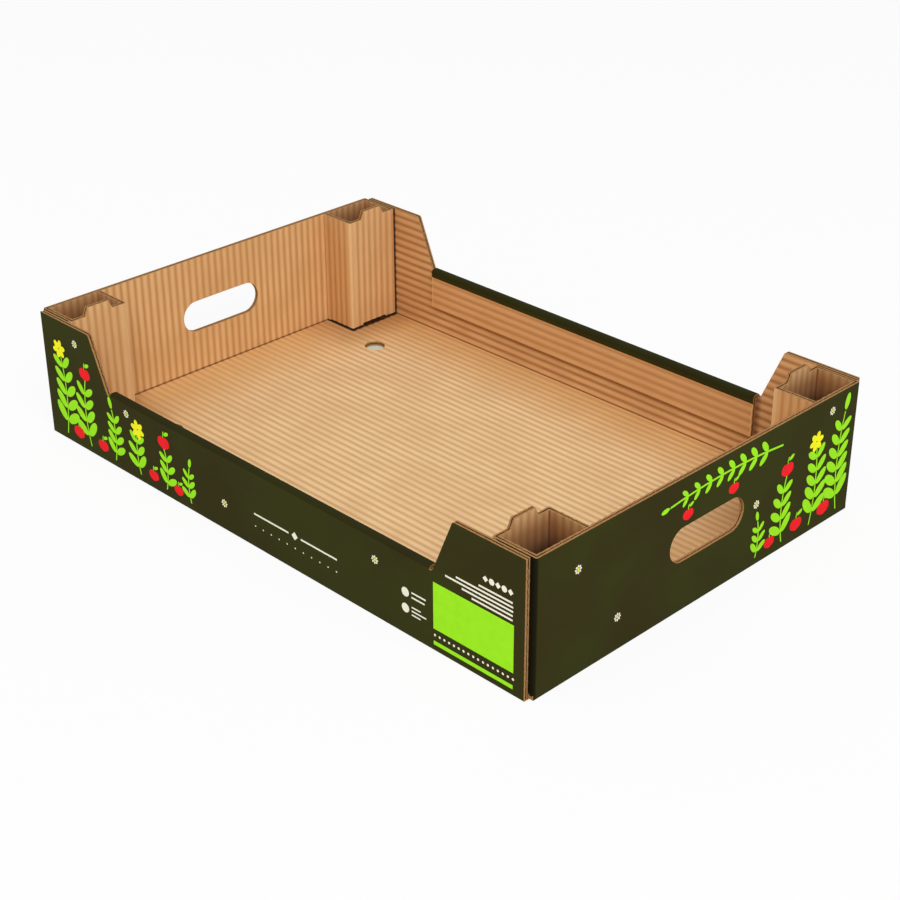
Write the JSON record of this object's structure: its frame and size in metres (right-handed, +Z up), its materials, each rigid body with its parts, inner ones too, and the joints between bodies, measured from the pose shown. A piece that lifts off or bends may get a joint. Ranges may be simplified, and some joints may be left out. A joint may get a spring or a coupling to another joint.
{
  "type": "cardboard tray box",
  "caption": "Open stacking tray of corrugated cardboard with hollow corner posts, stacking tabs, hand holes and rolled long edges.",
  "frame": {"origin": "middle of the underside, on the ground", "axes": "+X along the tray's length, +Y across it, +Z up"},
  "size_m": [0.6, 0.4, 0.128],
  "materials": {
    "board": "matte brown kraft liner with washboard inside, dark olive print on the outer side"
  },
  "bodies": {
    "root": {"folded_tray": "board"}
  },
  "joints": []
}
